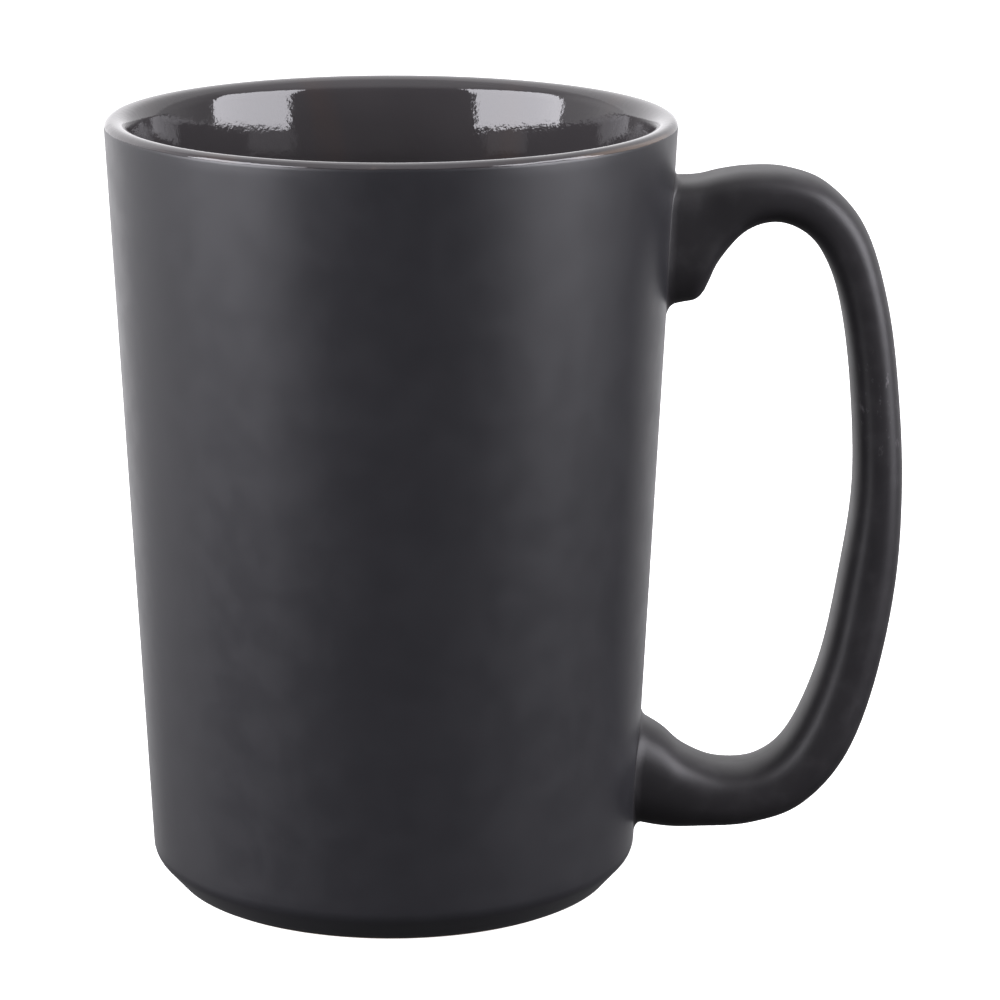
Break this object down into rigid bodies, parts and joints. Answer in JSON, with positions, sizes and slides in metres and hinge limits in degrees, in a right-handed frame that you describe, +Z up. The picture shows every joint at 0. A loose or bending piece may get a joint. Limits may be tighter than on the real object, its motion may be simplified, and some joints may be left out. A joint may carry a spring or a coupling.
{
  "type": "ceramic mug",
  "caption": "Tall tapered ceramic mug with an open D-shaped loop handle, satin glaze outside, gloss lining over the lip and a bare foot ring.",
  "frame": {"origin": "on the mug's axis, in the plane that it stands on; the centre of the glazed recess in the base is 0.9 mm above it", "axes": "+Z up along the mug's axis, +X from the axis out to the handle, Y across; the handle lies in the XZ plane"},
  "size_m": [0.1227, 0.087, 0.12],
  "materials": {
    "fired_clay": "bare fired stoneware, dry and fine-grained",
    "fired_slip": "bare fired slip",
    "satin_glaze": "satin charcoal glaze",
    "gloss_glaze": "gloss charcoal glaze, slightly uneven"
  },
  "bodies": {
    "root": {"clay_body": "fired_clay", "clay_handle": "fired_clay", "upper_slip_joint": "fired_slip", "lower_slip_joint": "fired_slip", "matte_glaze_body": "satin_glaze", "matte_glaze_handle": "satin_glaze", "gloss_glaze_lining": "gloss_glaze", "base_recess_glaze": "satin_glaze"}
  },
  "joints": []
}
